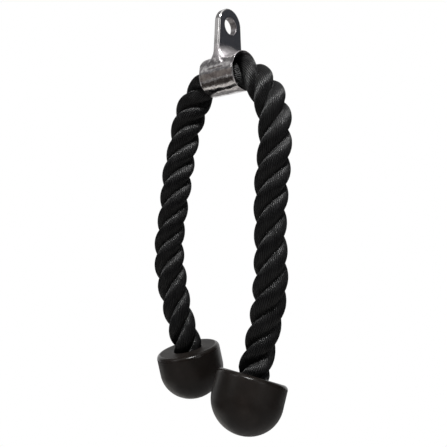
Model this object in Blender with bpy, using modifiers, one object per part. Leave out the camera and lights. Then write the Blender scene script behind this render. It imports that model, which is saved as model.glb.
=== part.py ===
"""Triceps rope attachment: a cast eye collar, one rope through it, a rubber end on each leg.

Metres, +Z up. The origin is the middle of the eye hole, X runs along the hole and the collar,
and the two legs hang towards -Z, the right one at +X. Each leg bends at two places: just
outside the collar and half way down, where one stretch of rope ends in a ball and the next
one above it in a socket.
"""

import math

import bmesh
import bpy
import numpy as np
from mathutils import Matrix, Vector

# Clearances
GAP = 0.0003
CUT_OVERRUN = 0.002
FILLET_SINK = 0.0002

# Rope
ROPE_DIAMETER = 0.028
RING_STEP = 0.006
READ_STEP = 0.0005
SPREAD_AT = 0.048
BEND_AT = 0.205
SPREAD_REACH_DEG = 50.0
BEND_REACH_DEG = 35.0
BALL_RINGS = 5
SOCKET_SIDES = 32

# Eye collar
EYE_TO_COLLAR = 0.0455
EYE_DIAMETER = 0.016
EYE_CHAMFER = 0.0004
TAB_THICKNESS = 0.007
TAB_TOP_RADIUS = 0.0152
TAB_TOP_RISE = 0.001
TAB_BASE_WIDTH = 0.0361
TAB_EDGE_ROUND = 0.0012
COLLAR_LENGTH = 0.042
COLLAR_WALL = 0.004
COLLAR_EDGE_ROUND = 0.0008
MOUTH_FLARE_RADIUS = 0.020
MOUTH_FLARE_LENGTH = 0.0105
SADDLE_RADIUS = 0.0105
SADDLE_INSET = 0.0004

# Rubber ends
END_DIAMETER = 0.064
END_HEIGHT = 0.050
END_WALL_HEIGHT = 0.020
END_RIM_ROUND = 0.003
NECK_LENGTH = 0.010
TAIL_LENGTH = 0.034

# Crimp ferrules
FERRULE_WALL = 0.002
FERRULE_LENGTH = 0.016
FERRULE_CHAMFER = 0.0004

# The rope's route from the left rubber end through the collar to the right one, chosen by hand
# in metres from the collar's middle. Past both of its ends the rope runs on straight.
ROPE_ROUTE = [
    (-0.0508, -0.0039, -0.2665),
    (-0.0525, -0.0060, -0.2548),
    (-0.0550, -0.0083, -0.2430),
    (-0.0598, -0.0112, -0.2210),
    (-0.0641, -0.0135, -0.1955),
    (-0.0668, -0.0143, -0.1685),
    (-0.0639, -0.0136, -0.1405),
    (-0.0605, -0.0114, -0.1105),
    (-0.0586, -0.0083, -0.0830),
    (-0.0565, -0.0063, -0.0690),
    (-0.0547, -0.0045, -0.0560),
    (-0.0533, -0.0033, -0.0465),
    (-0.0512, -0.0022, -0.0375),
    (-0.0477, -0.0013, -0.0286),
    (-0.0430, -0.0007, -0.0202),
    (-0.0376, -0.0003, -0.0131),
    (-0.0317, -0.0001, -0.0074),
    (-0.0251, 0.0, -0.0033),
    (-0.0180, 0.0, -0.0009),
    (-0.0105, 0.0, 0.0),
    (0.0, 0.0, 0.0),
    (0.0110, 0.0, 0.0),
    (0.0184, 0.0, -0.0008),
    (0.0254, 0.0, -0.0032),
    (0.0321, -0.0001, -0.0075),
    (0.0383, -0.0001, -0.0134),
    (0.0439, -0.0003, -0.0204),
    (0.0487, -0.0006, -0.0282),
    (0.0526, -0.0010, -0.0366),
    (0.0554, -0.0015, -0.0454),
    (0.0568, -0.0021, -0.0546),
    (0.0575, -0.0030, -0.0665),
    (0.0574, -0.0038, -0.0790),
    (0.0556, -0.0050, -0.1045),
    (0.0545, -0.0058, -0.1355),
    (0.0552, -0.0061, -0.1665),
    (0.0539, -0.0056, -0.1985),
    (0.0492, -0.0052, -0.2255),
    (0.0448, -0.0067, -0.2465),
    (0.0420, -0.0093, -0.2638),
    (0.0414, -0.0133, -0.2750),
]

# Facets
CURVE_STEP_DEG = 15.0
FINE_STEP_DEG = 22.5
FLARE_STEP_DEG = 6.0
TURN_STEPS = 40
EDGE_SEGMENTS = 2

# Sizes that follow from the ones above
ROPE_RADIUS = ROPE_DIAMETER / 2
BORE_RADIUS = ROPE_RADIUS + GAP
COLLAR_RADIUS = BORE_RADIUS + COLLAR_WALL
COLLAR_MIDDLE = Vector((0, 0, -EYE_TO_COLLAR))
TAB_FOOT = EYE_TO_COLLAR - BORE_RADIUS / 4
SPREAD_SETBACK = ROPE_RADIUS * math.sin(math.radians(SPREAD_REACH_DEG))
BEND_SETBACK = ROPE_RADIUS * math.sin(math.radians(BEND_REACH_DEG))
FERRULE_RADIUS = BORE_RADIUS + FERRULE_WALL
CAVITY_RADIUS = FERRULE_RADIUS + GAP
CAVITY_FLOOR = TAIL_LENGTH + GAP


def clear_scene():
    """Removes every object that the file starts with."""
    for obj in list(bpy.data.objects):
        bpy.data.objects.remove(obj, do_unlink=True)


def new_collection(name):
    group = bpy.data.collections.new(name)
    bpy.context.scene.collection.children.link(group)
    return group


def material(name, color, metallic, roughness):
    made = bpy.data.materials.new(name)
    made.use_nodes = True
    shader = made.node_tree.nodes["Principled BSDF"]
    shader.inputs["Base Color"].default_value = (*color, 1.0)
    shader.inputs["Metallic"].default_value = metallic
    shader.inputs["Roughness"].default_value = roughness
    return made


def add_object(name, data, group, finish=None):
    obj = bpy.data.objects.new(name, data)
    group.objects.link(obj)
    if finish:
        data.materials.append(finish)
    return obj


def shade_round(obj, angle_deg=40.0):
    obj.data.shade_smooth()
    obj.data.set_sharp_from_angle(angle=math.radians(angle_deg))


def smooth_line(points):
    """A natural cubic spline through the points, read at even short steps of its parameter."""
    p = np.array(points, dtype=float)
    t = np.concatenate([[0], np.cumsum(np.linalg.norm(np.diff(p, axis=0), axis=1))])
    h = np.diff(t)
    size = len(p)
    system = np.eye(size)
    right_side = np.zeros_like(p)
    for i in range(1, size - 1):
        system[i, i - 1 : i + 2] = h[i - 1], 2 * (h[i - 1] + h[i]), h[i]
        right_side[i] = 6 * ((p[i + 1] - p[i]) / h[i] - (p[i] - p[i - 1]) / h[i - 1])
    bend = np.linalg.solve(system, right_side)
    q = np.linspace(0, t[-1], math.ceil(t[-1] / READ_STEP) + 1)
    k = np.clip(np.searchsorted(t, q, side="right") - 1, 0, size - 2)
    before, after, span = (q - t[k])[:, None], (t[k + 1] - q)[:, None], h[k][:, None]
    cubic = (bend[k] * after**3 + bend[k + 1] * before**3) / (6 * span)
    linear = (p[k] / span - bend[k] * span / 6) * after
    return cubic + linear + (p[k + 1] / span - bend[k + 1] * span / 6) * before


class RopePath:
    """The rope's centre line by arc length from the collar's middle, positive to the right."""

    def __init__(self):
        self.line = smooth_line(ROPE_ROUTE) + np.array(COLLAR_MIDDLE)
        steps = np.linalg.norm(np.diff(self.line, axis=0), axis=1)
        arc = np.concatenate([[0], np.cumsum(steps)])
        self.arc = arc - arc[np.abs(self.line[:, 0]).argmin()]
        self.ends = {-1: self.arc[0], 1: self.arc[-1]}

    def point(self, s):
        inside = min(max(s, self.ends[-1]), self.ends[1])
        place = Vector([np.interp(inside, self.arc, self.line[:, k]) for k in range(3)])
        return place + self.direction(inside) * (s - inside)

    def direction(self, s):
        """The unit tangent at arc length s, pointing towards the right end."""
        near = min(max(int(np.searchsorted(self.arc, s)), 1), len(self.line) - 2)
        return Vector(self.line[near + 1] - self.line[near - 1]).normalized()

    def stations(self, start, stop):
        """Points from start to stop in even steps of about RING_STEP."""
        count = math.ceil(abs(stop - start) / RING_STEP) + 1
        return [self.point(s) for s in np.linspace(start, stop, count)]


def tube(name, points, radius_shares, origin, group, finish):
    """A round tube through world points, as a curve object whose origin is given."""
    curve = bpy.data.curves.new(name, "CURVE")
    curve.dimensions = "3D"
    curve.bevel_depth = ROPE_RADIUS
    curve.bevel_resolution = 4
    curve.use_fill_caps = True
    spline = curve.splines.new("POLY")
    spline.points.add(len(points) - 1)
    for spot, place, share in zip(spline.points, points, radius_shares):
        spot.co = (*(place - origin), 1)
        spot.radius = share
    obj = add_object(name, curve, group, finish)
    obj.location = origin
    return obj


def curve_to_mesh(obj, group):
    """The curve object's mesh with its caps welded, in place of the curve object."""
    bpy.context.view_layer.update()
    evaluated = obj.evaluated_get(bpy.context.evaluated_depsgraph_get())
    mesh = bpy.data.meshes.new_from_object(evaluated)
    bm = bmesh.new()
    bm.from_mesh(mesh)
    bmesh.ops.remove_doubles(bm, verts=bm.verts, dist=0.00001)
    bm.to_mesh(mesh)
    bm.free()
    name = obj.name
    obj.name = name + "_curve"
    solid = bpy.data.objects.new(name, mesh)
    group.objects.link(solid)
    solid.matrix_world = obj.matrix_world
    bpy.data.objects.remove(obj, do_unlink=True)
    solid.data.name = name
    return solid


def boolean(obj, other, operation):
    step = obj.modifiers.new(other.name, "BOOLEAN")
    step.operation = operation
    step.solver = "EXACT"
    step.object = other


def hide_cutter(obj):
    obj.hide_render = True
    obj.display_type = "WIRE"


def turned(name, profile, group, finish=None):
    """A profile of (radius, height) pairs turned about local Z."""
    mesh = bpy.data.meshes.new(name)
    edges = [(i, i + 1) for i in range(len(profile) - 1)]
    mesh.from_pydata([(r, 0, z) for r, z in profile], edges, [])
    obj = add_object(name, mesh, group, finish)
    screw = obj.modifiers.new("turn", "SCREW")
    screw.steps = TURN_STEPS
    screw.render_steps = TURN_STEPS
    screw.use_merge_vertices = True
    screw.merge_threshold = 0.00001
    screw.use_smooth_shade = True
    return obj


def arc_points(centre, radii, start_deg, stop_deg, step_deg):
    """Points on an elliptical arc about centre, from one angle to another."""
    count = math.ceil(abs(stop_deg - start_deg) / step_deg) + 1
    angles = np.radians(np.linspace(start_deg, stop_deg, count))
    return [(centre[0] + radii[0] * math.cos(a), centre[1] + radii[1] * math.sin(a)) for a in angles]


def flat_outline(name, outline, thickness, group):
    """A closed outline in local XY, filled and thickened about local Z, as a welded mesh."""
    curve = bpy.data.curves.new(name, "CURVE")
    curve.dimensions = "2D"
    curve.fill_mode = "BOTH"
    curve.extrude = thickness / 2
    spline = curve.splines.new("POLY")
    spline.points.add(len(outline) - 1)
    spline.use_cyclic_u = True
    for spot, (x, y) in zip(spline.points, outline):
        spot.co = (x, y, 0, 1)
    return curve_to_mesh(add_object(name, curve, group), group)


def socket_cutter(name, pivot, group):
    """The ball-shaped hollow that a rope end turns in, one gap larger than the ball."""
    mesh = bpy.data.meshes.new(name)
    bm = bmesh.new()
    bmesh.ops.create_uvsphere(
        bm, u_segments=SOCKET_SIDES, v_segments=SOCKET_SIDES // 2, radius=ROPE_RADIUS + GAP
    )
    bm.to_mesh(mesh)
    bm.free()
    obj = add_object(name, mesh, group)
    obj.location = pivot
    hide_cutter(obj)
    return obj


def ball_end(path, pivot_arc, side):
    """Ring places and radius shares of the half ball above a stretch that starts at a pivot."""
    pivot = path.point(pivot_arc)
    back = path.direction(pivot_arc) * -side
    angles = [math.radians(90.0 * k / (BALL_RINGS + 1)) for k in range(BALL_RINGS, 0, -1)]
    places = [pivot + back * ROPE_RADIUS * math.sin(a) for a in angles]
    return places, [math.cos(a) for a in angles]


def make_rope_crown(path, parts, cutters, finish):
    """The rope inside the collar and out of both mouths, with a socket at each end."""
    reach = SPREAD_AT - SPREAD_SETBACK
    places = path.stations(-reach, reach)
    rope = tube("rope_crown", places, [1.0] * len(places), COLLAR_MIDDLE, parts, finish)
    rope = curve_to_mesh(rope, parts)
    for side, word in ((-1, "left"), (1, "right")):
        pivot = path.point(side * SPREAD_AT)
        boolean(rope, socket_cutter(f"{word}_spread_socket", pivot, cutters), "DIFFERENCE")
    shade_round(rope)


def make_leg(path, side, word, parts, cutters, finishes):
    """One leg: upper rope, lower rope, rubber end and ferrule, on the empties of its two joints."""
    spread, bend = side * SPREAD_AT, side * BEND_AT
    spread_pivot = joint_empty(f"{word}_leg_spread_pivot", path.point(spread), parts)
    bend_pivot = joint_empty(f"{word}_leg_bend_pivot", path.point(bend), parts, spread_pivot)

    places, shares = ball_end(path, spread, side)
    run = path.stations(spread, bend - side * BEND_SETBACK)
    upper = tube(
        f"rope_{word}_upper", places + run, shares + [1.0] * len(run),
        path.point(spread), parts, finishes["rope"],
    )
    upper = curve_to_mesh(upper, parts)
    boolean(upper, socket_cutter(f"{word}_bend_socket", path.point(bend), cutters), "DIFFERENCE")
    shade_round(upper)
    hang_on(upper, spread_pivot)

    places, shares = ball_end(path, bend, side)
    run = path.stations(bend, path.ends[side]) + [path.point(path.ends[side] + side * TAIL_LENGTH)]
    lower = tube(
        f"rope_{word}_lower", places + run, shares + [1.0] * len(run),
        path.point(bend), parts, finishes["rope"],
    )
    hang_on(lower, bend_pivot)

    for piece in (make_rubber_end(word, parts, finishes), make_ferrule(word, parts, finishes)):
        up = path.direction(path.ends[side]) * -side
        turn = up.to_track_quat("Z", "Y").to_matrix().to_4x4()
        piece.matrix_world = Matrix.Translation(path.point(path.ends[side])) @ turn
        hang_on(piece, bend_pivot)


def joint_empty(name, place, group, parent=None):
    """An empty on a joint's axis, which carries what turns about it."""
    empty = bpy.data.objects.new(name, None)
    empty.empty_display_size = ROPE_DIAMETER
    group.objects.link(empty)
    empty.location = place
    if parent:
        hang_on(empty, parent)
    return empty


def hang_on(obj, parent):
    """Parents an object and leaves it where it is."""
    bpy.context.view_layer.update()
    obj.parent = parent
    obj.matrix_parent_inverse = parent.matrix_world.inverted()


def make_rubber_end(word, parts, finishes):
    """The rubber stop: a cylinder with a domed foot, and a neck and cavity for rope and ferrule.

    The turned section starts on the cavity's floor, comes up through the neck, crosses the flat
    top and runs down the outside to the foot of the dome.
    """
    radius = END_DIAMETER / 2
    dome = END_HEIGHT - END_WALL_HEIGHT
    rim = (radius - END_RIM_ROUND, -END_RIM_ROUND)
    profile = [(0, -CAVITY_FLOOR), (CAVITY_RADIUS, -CAVITY_FLOOR), (CAVITY_RADIUS, -NECK_LENGTH)]
    profile += [(BORE_RADIUS, -NECK_LENGTH), (BORE_RADIUS, 0)]
    profile += arc_points(rim, (END_RIM_ROUND, END_RIM_ROUND), 90, 0, FINE_STEP_DEG)
    profile += arc_points((0, -END_WALL_HEIGHT), (radius, dome), 0, -75, CURVE_STEP_DEG)
    profile.append((0, -END_HEIGHT))
    return turned(f"rubber_end_{word}", profile, parts, finishes["rubber"])


def make_ferrule(word, parts, finishes):
    """The metal sleeve crimped on the rope's tail under the neck, which stops it pulling out."""
    top = -(NECK_LENGTH + GAP)
    low = top - FERRULE_LENGTH
    cut = FERRULE_CHAMFER
    profile = [(BORE_RADIUS, low), (BORE_RADIUS, top), (FERRULE_RADIUS - cut, top)]
    profile += [(FERRULE_RADIUS, top - cut), (FERRULE_RADIUS, low + cut)]
    profile += [(FERRULE_RADIUS - cut, low), (BORE_RADIUS, low)]
    return turned(f"crimp_ferrule_{word}", profile, parts, finishes["ferrule"])


def tab_outline(inset=0):
    """The tab's outline: a round top over sides that widen until they meet the collar's."""
    half_base = TAB_BASE_WIDTH / 2 - inset
    radius = TAB_TOP_RADIUS - inset
    depth = TAB_FOOT + TAB_TOP_RISE
    lean = math.atan2(half_base, depth) + math.acos(radius / math.hypot(half_base, depth))
    start_deg = math.degrees(lean) - 90
    top = arc_points((0, TAB_TOP_RISE), (radius, radius), start_deg, 180 - start_deg, CURVE_STEP_DEG)
    return [(half_base, -TAB_FOOT), *top, (-half_base, -TAB_FOOT)]


def make_saddle(cutters):
    """The two fillets that lead the tab's faces into the collar.

    Each follows the collar's round, so they are turned about its axis and then cut to the tab's
    outline.
    """
    inner = TAB_THICKNESS / 2 - FILLET_SINK
    root = COLLAR_RADIUS - FILLET_SINK
    outer = inner + SADDLE_RADIUS
    arc = arc_points((root + SADDLE_RADIUS, outer), (SADDLE_RADIUS,) * 2, 180, 270, CURVE_STEP_DEG)
    profile = [(0, outer), *arc]
    profile += [(r, -z) for r, z in reversed(profile)]
    saddle = turned("saddle", profile, cutters)
    saddle.location = COLLAR_MIDDLE
    saddle.rotation_euler = (0, math.radians(90), 0)
    keep = flat_outline("saddle_keep", tab_outline(SADDLE_INSET), 2 * outer + CUT_OVERRUN, cutters)
    keep.rotation_euler = (math.radians(90), 0, math.radians(90))
    hide_cutter(keep)
    boolean(saddle, keep, "INTERSECT")
    return saddle


def make_eye_collar(parts, cutters, finish):
    """The casting: a short tube round the rope, and above it a flat tab with the eye hole."""
    radius, half, cut = COLLAR_RADIUS, COLLAR_LENGTH / 2, COLLAR_EDGE_ROUND
    profile = [(0, half)]
    profile += arc_points((radius - cut, half - cut), (cut, cut), 90, 0, FINE_STEP_DEG)
    profile += [(r, -z) for r, z in reversed(profile)]
    collar = turned("eye_collar", profile, parts, finish)
    collar.location = COLLAR_MIDDLE
    collar.rotation_euler = (0, math.radians(90), 0)

    tab = flat_outline("tab", tab_outline(), TAB_THICKNESS, cutters)
    tab.rotation_euler = (math.radians(90), 0, math.radians(90))
    edge = tab.modifiers.new("edge", "BEVEL")
    edge.width = TAB_EDGE_ROUND
    edge.segments = EDGE_SEGMENTS
    edge.limit_method = "ANGLE"
    edge.angle_limit = math.radians(40)

    for added in (tab, make_saddle(cutters)):
        hide_cutter(added)
        boolean(collar, added, "UNION")

    for removed in (bore_cutter(cutters), eye_cutter(cutters)):
        boolean(collar, removed, "DIFFERENCE")
    shade_round(collar)


def eye_cutter(cutters):
    """What is cut for the eye: a straight hole with a small chamfer at both faces of the tab."""
    radius, half, cut = EYE_DIAMETER / 2, TAB_THICKNESS / 2, EYE_CHAMFER
    high = half + CUT_OVERRUN
    profile = [(0, high), (radius + cut + CUT_OVERRUN, high), (radius, half - cut)]
    profile += [(r, -z) for r, z in reversed(profile)]
    eye = turned("eye", profile, cutters)
    eye.rotation_euler = (0, math.radians(90), 0)
    hide_cutter(eye)
    return eye


def bore_cutter(cutters):
    """What is cut for the rope: a straight bore that flares towards both mouths."""
    half, bend = COLLAR_LENGTH / 2, MOUTH_FLARE_RADIUS
    mouth_deg = 180 - math.degrees(math.asin((MOUTH_FLARE_LENGTH + CUT_OVERRUN) / bend))
    middle = (BORE_RADIUS + bend, half - MOUTH_FLARE_LENGTH)
    flare = arc_points(middle, (bend, bend), mouth_deg, 180, FLARE_STEP_DEG)
    profile = [(0, half + CUT_OVERRUN), *flare]
    profile += [(r, -z) for r, z in reversed(profile)]
    bore = turned("bore", profile, cutters)
    bore.location = COLLAR_MIDDLE
    bore.rotation_euler = (0, math.radians(90), 0)
    hide_cutter(bore)
    return bore


def main():
    clear_scene()
    parts = new_collection("triceps_rope_attachment")
    cutters = new_collection("cutters")
    finishes = {
        "chrome": material("polished_chrome", (0.62, 0.6, 0.6), 1.0, 0.12),
        "rope": material("black_rope", (0.018, 0.018, 0.02), 0.0, 0.75),
        "rubber": material("black_rubber", (0.028, 0.026, 0.026), 0.0, 0.45),
        "ferrule": material("crimped_aluminium", (0.7, 0.7, 0.71), 1.0, 0.35),
    }
    path = RopePath()
    make_eye_collar(parts, cutters, finishes["chrome"])
    make_rope_crown(path, parts, cutters, finishes["rope"])
    for side, word in ((-1, "left"), (1, "right")):
        make_leg(path, side, word, parts, cutters, finishes)
        pivots = [path.point(side * at) for at in (SPREAD_AT, BEND_AT)]
        print(word, "leg", round(side * path.ends[side] + TAIL_LENGTH, 4), "m to the rope's end")
        print(word, "pivots", [[round(v, 5) for v in pivot] for pivot in pivots])


main()
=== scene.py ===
"""Triceps rope attachment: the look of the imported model.

A chromed casting with a short collar and a flat eye tab holds one thick black rope of three
strands. The rope leaves both mouths of the collar, hangs down as two legs and ends in two domed
rubber stops. Lengths are in metres, with the origin in the middle of the eye hole and +Z up.
"""
import math

import bpy
import numpy as np
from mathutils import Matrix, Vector


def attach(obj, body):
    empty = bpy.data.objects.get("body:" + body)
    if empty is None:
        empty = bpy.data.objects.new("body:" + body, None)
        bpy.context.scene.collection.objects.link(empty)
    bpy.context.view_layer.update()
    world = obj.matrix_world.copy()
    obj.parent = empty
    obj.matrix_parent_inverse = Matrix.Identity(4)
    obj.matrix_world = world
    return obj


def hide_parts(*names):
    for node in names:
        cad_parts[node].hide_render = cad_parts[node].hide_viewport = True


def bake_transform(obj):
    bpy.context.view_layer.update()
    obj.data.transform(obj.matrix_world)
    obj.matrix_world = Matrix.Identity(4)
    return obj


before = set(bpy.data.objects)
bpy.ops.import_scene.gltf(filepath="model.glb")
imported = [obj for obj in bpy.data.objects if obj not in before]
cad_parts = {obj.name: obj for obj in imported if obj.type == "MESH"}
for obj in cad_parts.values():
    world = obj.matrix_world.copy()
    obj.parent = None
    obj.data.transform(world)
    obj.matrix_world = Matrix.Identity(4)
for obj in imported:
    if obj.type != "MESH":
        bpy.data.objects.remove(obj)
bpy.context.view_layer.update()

# Collar casting
EYE_TO_COLLAR = 0.0455
COLLAR_RADIUS = 0.0183
COLLAR_LENGTH = 0.042
COLLAR_MOUTH = COLLAR_LENGTH / 2
COLLAR_EDGE_ROUND = 0.0011
BORE_RADIUS = 0.0143
FLARE_RADIUS = 0.020
FLARE_LENGTH = 0.0105
FLARE_END_SHARE = 0.8
LIP_ROUND = 0.0007
TAB_THICKNESS = 0.007
TAB_TOP_RADIUS = 0.0152
TAB_TOP_RISE = 0.001
TAB_FOOT = 0.04193
TAB_FOOT_WIDTH = 0.0361
TAB_EDGE_ROUND = 0.0015
TAB_BLEND = 0.0008
EYE_RADIUS = 0.008
EYE_ROUND = 0.0004
SADDLE_RADIUS = 0.0105
SADDLE_ROUND = 0.0025
CASTING_GRID = 0.00048
SURFACE_PASSES = 4

# Heights on the tab between which the chrome's finish changes; in the foot band its colour is darkened
# as painted shade
SADDLE_BAND = (-0.034, -0.020)
FOOT_BAND = (-0.045, -0.010)

# Rope
ROPE_RADIUS = 0.0150
SQUEEZED_RADIUS = 0.0141
WAIST, WAIST_AT, WAIST_REACH = 0.0010, 0.037, 0.015
LEFT_SWELL, RIGHT_SWELL = 0.0012, 0.0003
SWELL_PEAK = 0.060
SWELL_REACH = 0.028
LEFT_THICKEST, RIGHT_THICKEST = 0.122, 0.1325
UNEVEN_SHARE, UNEVEN_WAVE = 0.035, 0.1
NECK_SQUEEZE_REACH = 0.005
LEFT_LAY, LEFT_TURN = 0.06875, 0.804
RIGHT_LAY, RIGHT_TURN = 0.0697, 1.451
STRANDS = 3
STRAND_OFFSET_SHARE = 0.50
STRAND_HALF_HEIGHT_SHARE = 0.50
STRAND_HALF_WIDTH_SHARE = 0.585
GROOVE_FLOOR_SHARE = 0.64
GROOVE_ROUND_SHARE = 0.04
YARNS_PER_STRAND = 15
YARN_RELIEF = 0.0008
YARN_LEAN = 0.12
YARN_RIDGE_POWER = 1.5
UNEVEN_RELIEF = 0.5
RELIEF_WAVES = ((3, 260), (5, -170))
ROPE_COLUMNS = 396
ROPE_RING_STEP = 0.0009
ROUTE_STEP = 0.0005
TAIL_POINTS = 60
CROWN_HALF_GAP = 0.0001
CORD_SPLIT = 0.170

# Rubber ends, and the wear on them
END_RADIUS = 0.032
END_HEIGHT = 0.050
END_WALL_HEIGHT = 0.020
END_RIM_ROUND = 0.004
RUBBER_LIP = 0.0012
NECK_RADIUS = 0.0143
NECK_LENGTH = 0.010
CAVITY_RADIUS = 0.0166
CAVITY_GAP = 0.0003
TAIL_LENGTH = 0.034
END_STEPS = 160
END_SHARP_DEG = 50
DULL_TOP, POLISHED_RIM = -1.0, 1.0

# Stage and camera
VIEW_AZIMUTH_DEG = 42
CAMERA_PLACE = (0.3315, -0.3744, -0.1864)
CAMERA_LENS = 42.44
CAMERA_SENSOR = 36.0
FLOOR_HEIGHT = -0.95
TABLE_HEIGHT = -0.8
CARD_HEIGHT = -0.79

# The rope's route from the left rubber end through the collar to the right one, measured from
# the collar's middle. Past both of its ends the rope runs on straight.
ROPE_ROUTE = [
    (-0.0508, -0.0039, -0.2665), (-0.0525, -0.0060, -0.2548), (-0.0550, -0.0083, -0.2430),
    (-0.0598, -0.0112, -0.2210), (-0.0641, -0.0135, -0.1955), (-0.0668, -0.0143, -0.1685),
    (-0.0639, -0.0136, -0.1405), (-0.0605, -0.0114, -0.1105), (-0.0586, -0.0083, -0.0830),
    (-0.0565, -0.0063, -0.0690), (-0.0547, -0.0045, -0.0560), (-0.0533, -0.0033, -0.0465),
    (-0.0512, -0.0022, -0.0375), (-0.0477, -0.0013, -0.0286), (-0.0430, -0.0007, -0.0202),
    (-0.0376, -0.0003, -0.0131), (-0.0317, -0.0001, -0.0074), (-0.0251, 0.0, -0.0033),
    (-0.0180, 0.0, -0.0009), (-0.0105, 0.0, 0.0), (0.0, 0.0, 0.0), (0.0110, 0.0, 0.0),
    (0.0184, 0.0, -0.0008), (0.0254, 0.0, -0.0032), (0.0321, -0.0001, -0.0075),
    (0.0383, -0.0001, -0.0134), (0.0439, -0.0003, -0.0204), (0.0487, -0.0006, -0.0282),
    (0.0526, -0.0010, -0.0366), (0.0554, -0.0015, -0.0454), (0.0568, -0.0021, -0.0546),
    (0.0575, -0.0030, -0.0665), (0.0574, -0.0038, -0.0790), (0.0556, -0.0050, -0.1045),
    (0.0545, -0.0058, -0.1355), (0.0552, -0.0061, -0.1665), (0.0539, -0.0056, -0.1985),
    (0.0492, -0.0052, -0.2255), (0.0448, -0.0067, -0.2465), (0.0420, -0.0093, -0.2638),
    (0.0414, -0.0133, -0.2750),
]


def unit(v):
    return v / np.linalg.norm(v, axis=-1, keepdims=True)


def mesh_object(name, points, faces, finish):
    """A smooth shaded mesh object at the origin from an array of points and a list of faces."""
    mesh = bpy.data.meshes.new(name)
    mesh.from_pydata(points.tolist(), [], faces)
    mesh.materials.append(finish)
    mesh.shade_smooth()
    obj = bpy.data.objects.new(name, mesh)
    bpy.context.scene.collection.objects.link(obj)
    return obj


def ring_faces(rings, columns):
    """Quads between neighbouring rings of a closed tube, numbered ring by ring."""
    r, c = np.meshgrid(np.arange(rings - 1), np.arange(columns), indexing="ij")
    a, b = r * columns + c, r * columns + (c + 1) % columns
    return np.stack([a, b, b + columns, a + columns], -1).reshape(-1, 4)


def fan_faces(ring_start, columns, middle, flip):
    """Triangles from each side of one ring to a middle point."""
    c = np.arange(columns)
    a, b = ring_start + c, ring_start + (c + 1) % columns
    m = np.full(columns, middle)
    return np.stack([b, a, m] if flip else [a, b, m], -1)


def tube_object(name, rings, ends, finish):
    """A tube through rings of points, closed at both ends by a fan to one point each."""
    count, columns = rings.shape[:2]
    wall = count * columns
    faces = [
        *ring_faces(count, columns).tolist(),
        *fan_faces(0, columns, wall, True).tolist(),
        *fan_faces(wall - columns, columns, wall + 1, False).tolist(),
    ]
    return mesh_object(name, np.vstack([rings.reshape(-1, 3), ends]), faces, finish)


def store_on_tube(mesh, name, values):
    """An attribute with one or three values on each point of a tube's rings, and zeros on the
    two points that close it."""
    kind, field = ("FLOAT_VECTOR", "vector") if values.ndim == 3 else ("FLOAT", "value")
    width = values.shape[2:]
    whole = np.concatenate([values.reshape(-1, *width), np.zeros((2, *width))])
    layer = mesh.attributes.new(name, kind, "POINT")
    layer.data.foreach_set(field, whole.astype(np.float32).ravel())


def smooth_line(points):
    """A natural cubic spline through the points: each stretch is the cubic whose second
    derivative runs straight from one point's value to the next, and is zero at both ends."""
    p = np.array(points, float)
    t = np.concatenate([[0], np.cumsum(np.linalg.norm(np.diff(p, axis=0), axis=1))])
    h, size = np.diff(t), len(p)
    inner = np.arange(1, size - 1)
    system, right_side = np.eye(size), np.zeros_like(p)
    system[inner, inner - 1] = h[:-1]
    system[inner, inner] = 2 * (h[:-1] + h[1:])
    system[inner, inner + 1] = h[1:]
    slope = np.diff(p, axis=0) / h[:, None]
    right_side[1:-1] = 6 * np.diff(slope, axis=0)
    bend = np.linalg.solve(system, right_side)
    q = np.linspace(0, t[-1], math.ceil(t[-1] / ROUTE_STEP) + 1)
    k = np.clip(np.searchsorted(t, q, side="right") - 1, 0, size - 2)
    before, after, span = (q - t[k])[:, None], (t[k + 1] - q)[:, None], h[k][:, None]
    cubic = (bend[k] * after**3 + bend[k + 1] * before**3) / (6 * span)
    linear = (p[k] / span - bend[k] * span / 6) * after
    return cubic + linear + (p[k + 1] / span - bend[k + 1] * span / 6) * before


class RopeLine:
    """The rope's centre line by arc length from the collar's middle, positive to the right."""

    def __init__(self):
        line = smooth_line(ROPE_ROUTE) - np.array([0, 0, EYE_TO_COLLAR])
        first, last = unit(line[0] - line[1]), unit(line[-1] - line[-2])
        out = np.linspace(0, TAIL_LENGTH, TAIL_POINTS)[1:, None]
        line = np.vstack([(line[0] + first * out)[::-1], line, line[-1] + last * out])
        arc = np.concatenate([[0], np.cumsum(np.linalg.norm(np.diff(line, axis=0), axis=1))])
        self.line, self.arc = line, arc - np.interp(0, line[:, 0], arc)
        self.ends = {-1: self.arc[0], 1: self.arc[-1]}

    def points(self, s):
        return np.stack([np.interp(s, self.arc, self.line[:, k]) for k in range(3)], -1)

    def frames(self, s):
        """Centre, tangent, and two cross directions at arc lengths s. The second cross
        direction is the Y axis made square to the tangent, and the first is square to both."""
        reach = 0.0015
        tangent = unit(self.points(s + reach) - self.points(s - reach))
        tangent[s + reach > self.arc[-1]] = unit(self.line[-1] - self.line[-2])
        tangent[s - reach < self.arc[0]] = unit(self.line[1] - self.line[0])
        across = unit(np.array([0.0, 1.0, 0.0]) - tangent * tangent[:, 1:2])
        return self.points(s), tangent, np.cross(across, tangent), across


def ease(share):
    """A smooth rise from 0 to 1 as the share does so, level at both ends."""
    share = np.clip(share, 0, 1)
    return share * share * (3 - 2 * share)


def strand_turn(s):
    """The angle of the first strand's middle at arc length s.

    It grows by one turn in each lay length, which is a little longer in the right leg. Inside
    the collar the left leg's angle eases over into the right leg's.
    """
    left = 2 * np.pi * s / LEFT_LAY + LEFT_TURN
    right = 2 * np.pi * s / RIGHT_LAY + RIGHT_TURN
    return left + (right - left) * ease((s + COLLAR_MOUTH) / (2 * COLLAR_MOUTH))


def flared(radius, away):
    """A radius that grows on an arc towards the collar's mouths, for a distance from its
    middle. It stops growing where the arc has used up its share."""
    past = np.clip(away - (COLLAR_MOUTH - FLARE_LENGTH), 0, FLARE_END_SHARE * FLARE_RADIUS)
    return radius + FLARE_RADIUS - np.sqrt(FLARE_RADIUS**2 - past**2)


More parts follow.
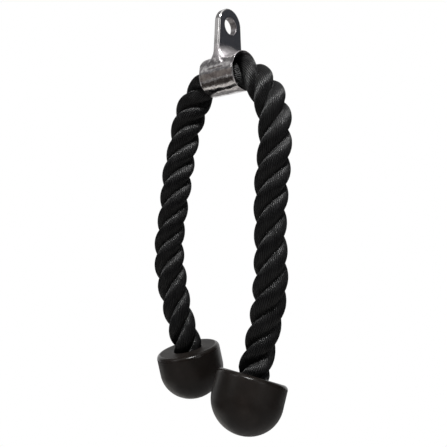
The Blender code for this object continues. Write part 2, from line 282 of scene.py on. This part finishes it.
def crest_radius(s, ends):
    """How far the strands' crests lie from the rope's axis at arc length s.

    The rope is squeezed inside the collar and in the rubber necks. Outside the collar, bell
    curves of the arc length give it a waist in the bend and then a swelling, more so in the
    left leg. Further down its thickness still goes up and down a little, as a cosine.
    """
    away = np.abs(s)
    left = s < 0
    swell = np.where(left, LEFT_SWELL, RIGHT_SWELL)
    radius = ROPE_RADIUS + swell * np.exp(-2 * ((away - SWELL_PEAK) / SWELL_REACH) ** 2)
    radius -= WAIST * np.exp(-2 * ((away - WAIST_AT) / WAIST_REACH) ** 2)
    thickest = np.where(left, LEFT_THICKEST, RIGHT_THICKEST)
    settled = UNEVEN_SHARE * ease((away - thickest + UNEVEN_WAVE / 2) / (UNEVEN_WAVE / 2))
    radius = radius * (1 + settled * np.cos(2 * np.pi * (away - thickest) / UNEVEN_WAVE))
    radius = np.minimum(radius, flared(SQUEEZED_RADIUS, away))
    neck = np.where(left, -ends[-1], ends[1]) - TAIL_LENGTH
    squeeze = ease((away - neck + NECK_SQUEEZE_REACH) / NECK_SQUEEZE_REACH)
    return radius + (SQUEEZED_RADIUS - radius) * squeeze


def strand_outline(turn):
    """The rope section's radius as a share, for an angle from the nearest strand's middle.

    Each strand's section is an ellipse whose centre lies off the rope's axis, so the radius is
    the farther root of the quadratic where a ray from the axis meets that ellipse. The yarns
    fill the bottom of the groove, so a smooth maximum holds the radius at the groove's floor.
    """
    a, b, c = STRAND_OFFSET_SHARE, STRAND_HALF_HEIGHT_SHARE, STRAND_HALF_WIDTH_SHARE
    cos, sin = np.cos(turn), np.sin(turn)
    square = cos**2 / b**2 + sin**2 / c**2
    half = a * cos / b**2
    strand = (half + np.sqrt(np.maximum(half**2 - square * (a**2 / b**2 - 1), 0))) / square
    above = strand - GROOVE_FLOOR_SHARE
    return GROOVE_FLOOR_SHARE + (above + np.hypot(above, GROOVE_ROUND_SHARE)) / 2


def make_rope(name, rope, start, stop, finish):
    """One stretch of the three-strand rope, between two arc lengths.

    The radius at angle phi and arc length s is the strand outline at the angle from phi to the
    nearest of three strand middles, which turn once in each lay length, less the relief of the
    yarns. The yarns lie nearly along the rope: their relief is a row of rounded ridges in phi
    that lean a little with the lay and are shifted by half a ridge from strand to strand. Two
    waves in phi and s make the relief uneven. One ring more than is drawn is worked out at each
    end, for the normals.
    """
    rings = math.ceil(abs(stop - start) / ROPE_RING_STEP) + 1
    first, last = min(start, stop), max(start, stop)
    step = (last - first) / (rings - 1)
    s = np.linspace(first - step, last + step, rings + 2)
    phi = np.linspace(0, 2 * np.pi, ROPE_COLUMNS, endpoint=False)
    centre, tangent, side, across = rope.frames(s)
    twist = strand_turn(s)[:, None]
    pitch = 2 * np.pi / STRANDS
    strand = np.round((phi - twist) / pitch)
    turn = phi - twist - strand * pitch
    crest = strand_outline(turn)
    count = YARNS_PER_STRAND * STRANDS
    phase = count * (phi + YARN_LEAN * turn) + np.pi * strand
    ridge = 1 - np.abs(np.sin(phase / 2)) ** YARN_RIDGE_POWER
    wave, other_wave = (np.sin(k * phi + m * s[:, None]) for k, m in RELIEF_WAVES)
    swell = 1 + UNEVEN_RELIEF * wave * other_wave
    radius = crest_radius(s, rope.ends)[:, None] * crest - YARN_RELIEF * ridge * swell
    cos, sin = np.cos(phi)[:, None], np.sin(phi)[:, None]
    skin = centre[:, None] + radius[:, :, None] * (cos * side[:, None] + sin * across[:, None])
    normals = skin_normals(skin)
    s, centre, skin, ridge = (v[1:-1] for v in (s, centre, skin, ridge))

    obj = tube_object(name, skin, centre[[0, -1]], finish)
    ends = np.stack([-tangent[1], tangent[-2]])
    all_normals = np.vstack([normals.reshape(-1, 3), ends])
    obj.data.normals_split_custom_set_from_vertices(all_normals.tolist())
    place = (np.cos(phi), np.sin(phi), s[:, None] / ROPE_RADIUS)
    lie = np.stack([np.broadcast_to(v, ridge.shape) for v in place], -1)
    store_on_tube(obj.data, "lie", lie)
    # The crease value drives the rope's duller creases and the painted shade in them
    store_on_tube(obj.data, "crease", ridge)
    store_lay_map(obj.data, s)
    return obj


def skin_normals(skin):
    """The outward normals of a tube's rings but the first and last, from each point's four
    neighbours, so that two stretches that meet are shaded as one."""
    round_it = np.roll(skin, -1, axis=1) - np.roll(skin, 1, axis=1)
    return unit(np.cross(round_it[1:-1], skin[2:] - skin[:-2]))


def store_lay_map(mesh, s):
    """A UV map that goes once round the rope in u and along its arc length in v."""
    r, c = np.meshgrid(np.arange(len(s) - 1), np.arange(ROPE_COLUMNS), indexing="ij")
    u = np.stack([c, c + 1, c + 1, c], -1) / ROPE_COLUMNS
    v = np.stack([s[r], s[r], s[r + 1], s[r + 1]], -1)
    wall = np.stack([u, v], -1).reshape(-1, 2)
    places = np.zeros((len(mesh.loops), 2), np.float32)
    places[: len(wall)] = wall
    mesh.uv_layers.new(name="lay").data.foreach_set("uv", places.ravel())


def blend_max(a, b, radius):
    """The larger of two distances, with the edge where they cross rounded to a radius."""
    u, v = np.maximum(a + radius, 0), np.maximum(b + radius, 0)
    return np.minimum(np.maximum(a, b), -radius) + np.hypot(u, v)


def blend_min(a, b, radius):
    """The smaller of two distances, with the corner where they cross filled to a radius."""
    return -blend_max(-a, -b, radius)


def casting_distance(x, y, z):
    """How far a point is outside the casting's surface, negative inside.

    The collar is a cylinder along X with rounded ends. The tab is an outline in YZ, a circle
    over two leaning sides, held to its thickness. The saddle is the fillet between the tab's
    thickness and the collar's round, kept inside the tab's outline. The bore, which flares on
    an arc towards both mouths, and the eye hole are then taken away, with rounded lips.
    """
    axis_distance = np.hypot(y, z + EYE_TO_COLLAR)
    along = np.abs(x)
    barrel = blend_max(axis_distance - COLLAR_RADIUS, along - COLLAR_MOUTH, COLLAR_EDGE_ROUND)

    half_foot, drop = TAB_FOOT_WIDTH / 2, TAB_FOOT + TAB_TOP_RISE
    to_touch = math.acos(TAB_TOP_RADIUS / math.hypot(half_foot, drop))
    lean = math.atan2(half_foot, drop) + to_touch - math.pi / 2
    right, up = np.abs(y), z - TAB_TOP_RISE
    down_side = right * math.sin(lean) - up * math.cos(lean)
    beside = right * math.cos(lean) + up * math.sin(lean) - TAB_TOP_RADIUS
    outline = np.where(down_side > 0, beside, np.hypot(right, up) - TAB_TOP_RADIUS)
    outline = np.maximum(outline, -TAB_FOOT - z)
    tab = blend_max(outline, along - TAB_THICKNESS / 2, TAB_EDGE_ROUND)

    fillet = blend_min(along - TAB_THICKNESS / 2, axis_distance - COLLAR_RADIUS, SADDLE_RADIUS)
    reach = axis_distance - COLLAR_RADIUS - SADDLE_RADIUS
    saddle = np.maximum(blend_max(outline, fillet, SADDLE_ROUND), reach)

    solid = blend_min(np.minimum(tab, saddle), barrel, TAB_BLEND)
    solid = blend_max(solid, flared(BORE_RADIUS, along) - axis_distance, LIP_ROUND)
    return blend_max(solid, EYE_RADIUS - np.hypot(y, z), EYE_ROUND)


def pairs_along(axis, others=slice(None)):
    """The indices of the first and of the second in each pair of neighbours along an axis,
    and the part that is wanted along the two other axes."""
    first, second = [others] * 3, [others] * 3
    first[axis], second[axis] = slice(0, -1), slice(1, None)
    return tuple(first), tuple(second)


def surface_net(distance, low, high, step):
    """The surface where a distance formula is zero, as points and quads.

    The space is cut into small cells. Each cell whose corners lie on both sides of the surface
    gets one point, at the mean of where its edges cross, which then moves onto the surface
    along the distance's slope. Each cell edge that crosses the surface gives one quad between
    the four cells round it.
    """
    counts = np.ceil((np.array(high) - low) / step).astype(int) + 1
    axes = [low[k] + step * np.arange(counts[k]) for k in range(3)]
    x, y, z = np.meshgrid(*axes, indexing="ij")
    field = distance(x, y, z)
    inside = field < 0

    total = np.zeros([*(counts - 1), 3])
    hits = np.zeros(counts - 1)
    for k in range(3):
        first, second = pairs_along(k)
        f, g = field[first], field[second]
        crossed = (f < 0) != (g < 0)
        share = np.where(crossed, f / np.where(crossed, f - g, 1), 0)
        place = np.stack([v[first] for v in (x, y, z)], -1)
        place[..., k] += share * step
        i, j = [n for n in range(3) if n != k]
        for di in (0, 1):
            for dj in (0, 1):
                part = [slice(None)] * 3
                part[i] = slice(di, di + counts[i] - 1)
                part[j] = slice(dj, dj + counts[j] - 1)
                mask = crossed[tuple(part)]
                total += place[tuple(part)] * mask[..., None]
                hits += mask

    used = hits > 0
    number = np.full(used.shape, -1)
    number[used] = np.arange(used.sum())
    points = total[used] / hits[used][:, None]
    for _ in range(SURFACE_PASSES):
        points -= slope_step(distance, points)

    quads = []
    for k in range(3):
        i, j = (k + 1) % 3, (k + 2) % 3
        first, second = pairs_along(k, slice(1, -1))
        a, b = inside[first], inside[second]
        for mask, flip in ((a & ~b, False), (~a & b, True)):
            cell = np.argwhere(mask)
            cell[:, i] += 1
            cell[:, j] += 1
            corners = []
            for di, dj in ((-1, -1), (0, -1), (0, 0), (-1, 0)):
                at = cell.copy()
                at[:, i] += di
                at[:, j] += dj
                corners.append(number[at[:, 0], at[:, 1], at[:, 2]])
            quad = np.stack(corners, -1)
            quads.append(quad[:, ::-1] if flip else quad)
    return points, np.vstack(quads)


def slope_step(distance, points):
    """The move from each point to the surface: its distance along the distance's slope. Where
    the slope is nearly level, the least square that is divided by keeps the move short."""
    reach, least_square = 0.00005, 0.2
    here = distance(*points.T)
    slope = np.stack(
        [
            (distance(*(points + reach * e).T) - distance(*(points - reach * e).T)) / (2 * reach)
            for e in np.eye(3)
        ],
        -1,
    )
    return slope * (here / np.maximum((slope**2).sum(-1), least_square))[:, None]


def make_casting(finish):
    """The chromed casting of collar, saddle and eye tab."""
    pad = 2 * CASTING_GRID
    half, wide = COLLAR_MOUTH + pad, COLLAR_RADIUS + pad
    low = (-half, -wide, -EYE_TO_COLLAR - wide)
    high = (half, wide, TAB_TOP_RISE + TAB_TOP_RADIUS + pad)
    points, quads = surface_net(casting_distance, low, high, CASTING_GRID)
    return mesh_object("collar_casting", points, quads.tolist(), finish)


def end_profile():
    """The rubber end's section as (radius, height): cavity, neck, flat top, round rim, wall
    and a dome that is half an ellipse, closed on the axis at both ends."""
    def arc(centre, radii, start_deg, stop_deg, count):
        a = np.radians(np.linspace(start_deg, stop_deg, count))
        return np.stack([centre[0] + radii[0] * np.cos(a), centre[1] + radii[1] * np.sin(a)], -1)

    def run(first, last, count):
        return np.linspace(first, last, count)

    rim, lip = END_RIM_ROUND, RUBBER_LIP
    floor = -(TAIL_LENGTH + CAVITY_GAP)
    dome = END_HEIGHT - END_WALL_HEIGHT
    return np.vstack([
        run((0.0, floor), (CAVITY_RADIUS, floor), 4),
        run((CAVITY_RADIUS, floor), (CAVITY_RADIUS, -NECK_LENGTH), 6)[1:],
        run((CAVITY_RADIUS, -NECK_LENGTH), (NECK_RADIUS, -NECK_LENGTH), 3)[1:],
        run((NECK_RADIUS, -NECK_LENGTH), (NECK_RADIUS, -lip), 5)[1:],
        arc((NECK_RADIUS + lip, -lip), (lip, lip), 180, 90, 6)[1:],
        run((NECK_RADIUS + lip, 0.0), (END_RADIUS - rim, 0.0), 8)[1:],
        arc((END_RADIUS - rim, -rim), (rim, rim), 90, 0, 12)[1:],
        run((END_RADIUS, -rim), (END_RADIUS, -END_WALL_HEIGHT), 10)[1:],
        arc((0.0, -END_WALL_HEIGHT), (END_RADIUS, dome), 0, -90, 40)[1:],
    ])


def make_rubber_end(name, rope, side, finish):
    """The end's section turned about the rope's last straight stretch.

    Each point of the section goes round the axis at its radius and lies at its height along the
    axis. The attribute for wear tells the dull flat top and the polished rim from the rest.
    """
    section = end_profile()
    mouth = rope.ends[side] - side * TAIL_LENGTH
    centre, tangent, cross_a, cross_b = (v[0] for v in rope.frames(np.array([mouth])))
    outward = tangent * side
    angle = np.linspace(0, 2 * np.pi, END_STEPS, endpoint=False)
    spoke = np.cos(angle)[:, None] * cross_a + np.sin(angle)[:, None] * cross_b * -side
    inner = section[1:-1]
    skin = centre + inner[:, None, :1] * spoke[None] - inner[:, None, 1:] * outward
    obj = tube_object(name, skin, centre - section[[0, -1], 1:] * outward, finish)
    obj.data.set_sharp_from_angle(angle=math.radians(END_SHARP_DEG))
    radius, height = inner.T
    on_rim = (radius > END_RADIUS - END_RIM_ROUND) & (height > -END_RIM_ROUND)
    wear = np.where(np.isclose(height, 0), DULL_TOP, np.where(on_rim, POLISHED_RIM, 0.0))
    store_on_tube(obj.data, "wear", np.broadcast_to(wear[:, None], skin.shape[:2]))
    return obj


class Finish:
    """A new node material with a Principled shader, and short ways to add its nodes."""

    def __init__(self, name, color, metallic, roughness):
        self.material = bpy.data.materials.new(name)
        self.material.use_nodes = True
        self.tree = self.material.node_tree
        self.shader = self.tree.nodes["Principled BSDF"]
        self.shader.inputs["Base Color"].default_value = (*color, 1)
        self.shader.inputs["Metallic"].default_value = metallic
        self.shader.inputs["Roughness"].default_value = roughness

    def node(self, kind, settings=(), **inputs):
        made = self.tree.nodes.new(kind)
        for key, value in dict(settings).items():
            setattr(made, key, value)
        for key, value in inputs.items():
            socket = made.inputs[key.replace("_", " ")]
            if isinstance(value, bpy.types.NodeSocket):
                self.tree.links.new(value, socket)
            else:
                socket.default_value = value
        return made

    def object_place(self):
        return self.node("ShaderNodeTexCoord").outputs["Object"]

    def attribute(self, name):
        return self.node("ShaderNodeAttribute", {"attribute_name": name})

    def noise(self, place, scale, detail, roughness):
        return self.node(
            "ShaderNodeTexNoise", Vector=place, Scale=scale, Detail=detail, Roughness=roughness
        ).outputs["Fac"]

    def ramp(self, value, *stops):
        """Maps a value through colour stops of (position, colour)."""
        made = self.node("ShaderNodeValToRGB", Fac=value)
        band = made.color_ramp.elements
        while len(band) < len(stops):
            band.new(0.5)
        for element, (place, color) in zip(band, stops):
            element.position = place
            element.color = (*color, 1)
        return made.outputs["Color"]

    def span(self, value, low, high, from_low=0.0, from_high=1.0):
        """Maps a value from one span over to another, and holds it at both ends."""
        return self.node(
            "ShaderNodeMapRange", Value=value,
            From_Min=from_low, From_Max=from_high, To_Min=low, To_Max=high,
        ).outputs["Result"]

    def sum(self, *values):
        total = values[0]
        for value in values[1:]:
            made = self.node("ShaderNodeMath", {"operation": "ADD"})
            self.tree.links.new(total, made.inputs[0])
            self.tree.links.new(value, made.inputs[1])
            total = made.outputs[0]
        return total

    def bump(self, height, strength, distance, under=None):
        made = self.node("ShaderNodeBump", Height=height, Strength=strength, Distance=distance)
        if under is not None:
            self.tree.links.new(under, made.inputs["Normal"])
        return made.outputs["Normal"]

    def drive(self, socket, output):
        self.tree.links.new(output, self.shader.inputs[socket])


def polished_chrome():
    """Plated casting: bright metal whose polished skin still waves a little. It is stained in
    patches on the collar, even on the tab above the saddle, and rougher round the tab's foot and
    in the eye hole, where its colour is also darkened as painted shade."""
    f = Finish("polished_chrome", (0.62, 0.60, 0.60), 1.0, 0.1)
    place = f.object_place()
    patches = f.noise(place, 260, 5, 0.6)
    flat = f.node("ShaderNodeMapping", Vector=place, Scale=(0, 1, 1)).outputs["Vector"]
    from_eye = f.node("ShaderNodeVectorMath", {"operation": "LENGTH"}, Vector=flat).outputs["Value"]
    # In the eye hole the wall mask makes the chrome rougher and darkens its colour as painted shade
    wall = f.span(from_eye, 1.0, 0.0, EYE_RADIUS + EYE_ROUND, EYE_RADIUS + 2 * EYE_ROUND)
    height = f.node("ShaderNodeSeparateXYZ", Vector=place).outputs["Z"]
    even = f.span(height, patches, 0.57, *SADDLE_BAND)
    # The foot band makes the chrome rougher, and darkens its colour round the saddle as painted shade
    foot = f.ramp(
        f.span(height, 0.0, 1.0, *FOOT_BAND),
        (0.2, (0, 0, 0)), (0.4, (1, 1, 1)), (0.6, (1, 1, 1)), (0.8, (0, 0, 0)),
    )
    f.drive(
        "Base Color",
        f.ramp(
            f.sum(even, f.span(wall, 0.0, -0.22), f.span(foot, 0.0, -0.12)),
            (0.2, (0.16, 0.15, 0.155)), (0.4, (0.36, 0.34, 0.35)), (0.6, (0.64, 0.625, 0.62)),
        ),
    )
    dull = f.sum(f.span(foot, 0.0, 0.34), f.span(wall, 0.0, 0.2))
    f.drive("Roughness", f.sum(f.span(f.noise(place, 240, 4, 0.6), 0.06, 0.2), dull))
    waves = f.bump(f.noise(place, 95, 2, 0.4), f.span(height, 0.7, 0.25, *SADDLE_BAND), 0.0012)
    f.drive("Normal", f.bump(f.noise(place, 900, 3, 0.5), 0.15, 0.0002, waves))
    return f.material


def black_rope():
    """Black yarn: nearly black, with fine filaments that run along the yarns and draw each
    highlight out into a band around the rope. The creases between the yarns are dull, and their
    colour is darkened as painted shade."""
    f = Finish("black_rope", (0.018, 0.018, 0.02), 0.0, 0.5)
    lie = f.attribute("lie").outputs["Vector"]
    drawn = f.node("ShaderNodeMapping", Vector=lie, Scale=(1, 1, 0.28)).outputs["Vector"]
    fibres = f.noise(drawn, 15, 5, 0.7)
    clumps = f.noise(lie, 2.4, 3, 0.5)
    crease = f.attribute("crease").outputs["Fac"]
    # Fibres and clumps give the yarn's own tone; the crease term darkens the creases between yarns as
    # painted shade
    shade = f.sum(f.span(fibres, 0.0, 0.75), f.span(clumps, 0.0, 0.25), f.span(crease, 0.0, -0.3))
    f.drive(
        "Base Color",
        f.ramp(
            shade,
            (0.2, (0.0012, 0.0012, 0.0014)), (0.5, (0.003, 0.003, 0.0032)), (0.8, (0.011, 0.011, 0.012)),
        ),
    )
    f.drive("Roughness", f.sum(f.span(fibres, 0.66, -0.02), f.span(crease, 0.0, 0.5)))
    f.drive("Normal", f.bump(fibres, 0.8, 0.0004))
    lay = f.node("ShaderNodeTangent", {"direction_type": "UV_MAP", "uv_map": "lay"})
    f.drive("Tangent", lay.outputs["Tangent"])
    f.shader.inputs["Anisotropic"].default_value = 1.0
    f.shader.inputs["Specular IOR Level"].default_value = 0.36
    return f.material


def black_rubber():
    """Moulded rubber: black with a faint brown tone, satin, with a fine grain and dusty marks.
    The flat top is left dull by the mould, and the rim is polished by handling."""
    f = Finish("black_rubber", (0.022, 0.020, 0.020), 0.0, 0.42)
    place = f.object_place()
    dust = f.noise(place, 38, 6, 0.6)
    f.drive(
        "Base Color",
        f.ramp(
            dust,
            (0.35, (0.0055, 0.0043, 0.0036)), (0.6, (0.0095, 0.0074, 0.0063)),
            (0.8, (0.018, 0.0145, 0.0128)),
        ),
    )
    f.shader.inputs["Specular IOR Level"].default_value = 0.18
    wear = f.span(f.attribute("wear").outputs["Fac"], 0.26, -0.05, DULL_TOP, POLISHED_RIM)
    f.drive("Roughness", f.sum(f.span(f.noise(place, 70, 4, 0.6), 0.19, 0.35), wear))
    grain = f.bump(f.noise(place, 1500, 3, 0.6), 0.25, 0.00025)
    f.drive("Normal", f.bump(f.noise(place, 55, 3, 0.5), 0.2, 0.0008, grain))
    return f.material


def crimped_aluminium():
    """Dull drawn metal, finely marked by the crimping dies."""
    f = Finish("crimped_aluminium", (0.7, 0.7, 0.71), 1.0, 0.35)
    place = f.object_place()
    marks = f.noise(place, 420, 4, 0.6)
    f.drive("Base Color", f.ramp(marks, (0.3, (0.6, 0.6, 0.61)), (0.7, (0.75, 0.75, 0.76))))
    f.drive("Roughness", f.span(marks, 0.28, 0.45))
    f.drive("Normal", f.bump(marks, 0.3, 0.0002))
    return f.material


def white_stage_material(name, shade):
    """Lit like paint, but shown as plain white to the camera and in the chrome."""
    made = bpy.data.materials.new(name)
    made.use_nodes = True
    tree = made.node_tree
    paint = tree.nodes["Principled BSDF"]
    paint.inputs["Base Color"].default_value = (shade, shade, shade, 1)
    paint.inputs["Roughness"].default_value = 0.9
    glow = tree.nodes.new("ShaderNodeEmission")
    path = tree.nodes.new("ShaderNodeLightPath")
    seen = path.outputs["Is Camera Ray"]
    for name_of_ray in ("Is Glossy Ray", "Is Transmission Ray"):
        more = tree.nodes.new("ShaderNodeMath")
        more.operation = "MAXIMUM"
        tree.links.new(seen, more.inputs[0])
        tree.links.new(path.outputs[name_of_ray], more.inputs[1])
        seen = more.outputs[0]
    mix = tree.nodes.new("ShaderNodeMixShader")
    tree.links.new(seen, mix.inputs["Fac"])
    tree.links.new(paint.outputs["BSDF"], mix.inputs[1])
    tree.links.new(glow.outputs["Emission"], mix.inputs[2])
    tree.links.new(mix.outputs["Shader"], tree.nodes["Material Output"].inputs["Surface"])
    return made


def plain_material(name, color):
    return Finish(name, color, 0.0, 0.9).material


def stage_panel(name, corners, finish, camera_sees):
    obj = mesh_object(name, np.array(corners, float), [[0, 1, 2, 3]], finish)
    obj.visible_camera = camera_sees


def level_panel(name, x_span, y_span, height, finish, camera_sees=True):
    """A level panel over a span of X and a span of Y."""
    (x_low, x_high), (y_low, y_high) = x_span, y_span
    outline = ((x_low, y_low), (x_high, y_low), (x_high, y_high), (x_low, y_high))
    stage_panel(name, [(x, y, height) for x, y in outline], finish, camera_sees)


def facing_panel(name, turn_deg, away, half_width, low, high, finish, camera_sees=True):
    """An upright panel that faces the object from a distance, turned round it from the camera's
    side by an angle that is positive towards the right."""
    a = math.radians(VIEW_AZIMUTH_DEG + turn_deg)
    middle = np.array([math.sin(a), -math.cos(a)]) * away
    across = np.array([math.cos(a), math.sin(a)]) * half_width
    ends = (middle - across, middle + across)
    corners = [(*ends[0], low), (*ends[1], low), (*ends[1], high), (*ends[0], high)]
    stage_panel(name, corners, finish, camera_sees)


def area_light(name, place, target, size, power):
    lamp = bpy.data.lights.new(name, "AREA")
    lamp.shape = "RECTANGLE"
    lamp.size, lamp.size_y = size
    lamp.energy = power
    obj = bpy.data.objects.new(name, lamp)
    bpy.context.scene.collection.objects.link(obj)
    obj.location = place
    direction = Vector(target) - Vector(place)
    obj.rotation_euler = direction.to_track_quat("-Z", "Y").to_euler()


def set_up_studio():
    world = bpy.data.worlds.new("studio")
    world.use_nodes = True
    background = world.node_tree.nodes["Background"]
    background.inputs["Color"].default_value = (0.8, 0.8, 0.8, 1)
    background.inputs["Strength"].default_value = 0.32
    bpy.context.scene.world = world

    white = white_stage_material("white_paper", 0.5)
    blue_grey = plain_material("right_flag_cloth", (0.032, 0.035, 0.044))
    brown_grey = plain_material("left_flag_cloth", (0.30, 0.27, 0.25))
    dark_brown = plain_material("left_foot_cloth", (0.065, 0.056, 0.050))
    cream = plain_material("cream_card_paper", (0.9, 0.88, 0.84))
    table_grey = plain_material("table_cloth", (0.42, 0.41, 0.40))
    black = plain_material("black_cloth", (0.02, 0.02, 0.02))

    level_panel("floor", (-6, 6), (-6, 6), FLOOR_HEIGHT, white)
    facing_panel("backdrop", 180, 2.2, 3.2, FLOOR_HEIGHT, 1.35, white)
    facing_panel("right_flag", 96, 1.1, 0.75, -0.7, 0.9, blue_grey, camera_sees=False)
    facing_panel("left_flag", -75, 1.2, 0.35, -0.4, 0.24, brown_grey, camera_sees=False)
    facing_panel("left_flag_foot", -90, 0.8, 0.36, CARD_HEIGHT, -0.43, dark_brown, camera_sees=False)
    level_panel("low_table", (-1.9, 1.9), (-1.9, 1.9), TABLE_HEIGHT, table_grey, camera_sees=False)
    level_panel("cream_card", (-1.1, -0.3), (-0.7, 0.4), CARD_HEIGHT, cream, camera_sees=False)
    facing_panel("dark_room", 0, 2.4, 2.2, FLOOR_HEIGHT, 1.3, black, camera_sees=False)

    area_light("key_softbox", (0.77, -0.985, 1.75), (0, 0, -0.15), (0.42, 0.42), 64)
    area_light("top_softbox", (0.05, -0.1, 1.5), (0, 0, -0.15), (1.5, 1.5), 6)
    area_light("left_softbox", (-0.84, -0.81, 0.72), (0, 0, -0.05), (0.7, 0.4), 0.3)
    area_light("front_softbox", (-0.40, -1.08, 0.5), (0, 0, -0.05), (0.3, 0.6), 2.4)
    area_light("right_softbox", (1.35, -0.35, 0.25), (0, 0, -0.2), (0.5, 0.9), 3)

    camera = bpy.data.objects.new("camera", bpy.data.cameras.new("camera"))
    bpy.context.scene.collection.objects.link(camera)
    camera.location = CAMERA_PLACE
    camera.rotation_euler = (math.pi / 2, 0, math.radians(VIEW_AZIMUTH_DEG))
    camera.data.sensor_width = CAMERA_SENSOR
    camera.data.lens = CAMERA_LENS
    camera.data.clip_start = 0.01
    bpy.context.scene.camera = camera
    bpy.context.scene.view_settings.view_transform = "Standard"


set_up_studio()
finishes = {
    "chrome": polished_chrome(),
    "rope": black_rope(),
    "rubber": black_rubber(),
    "ferrule": crimped_aluminium(),
}
rope_line = RopeLine()

casting = make_casting(finishes["chrome"])
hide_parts("eye_collar")
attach(casting, "collar")

for side, word in ((-1, "left"), (1, "right")):
    end = rope_line.ends[side]
    spans = {"upper": (CROWN_HALF_GAP * side, CORD_SPLIT * side), "lower": (CORD_SPLIT * side, end)}
    for part, (start, stop) in spans.items():
        cord = make_rope(f"{word}_{part}_rope", rope_line, start, stop, finishes["rope"])
        nodes = [f"rope_{word}_{part}"] + (["rope_crown"] if part == "upper" else [])
        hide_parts(*nodes)
        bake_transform(cord)
    rubber_end = make_rubber_end(f"{word}_rubber_end", rope_line, side, finishes["rubber"])
    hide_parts(f"rubber_end_{word}")
    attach(rubber_end, f"{word}_lower_leg")

for word in ("left", "right"):
    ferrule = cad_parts[f"crimp_ferrule_{word}"]
    ferrule.data.materials.clear()
    ferrule.data.materials.append(finishes["ferrule"])
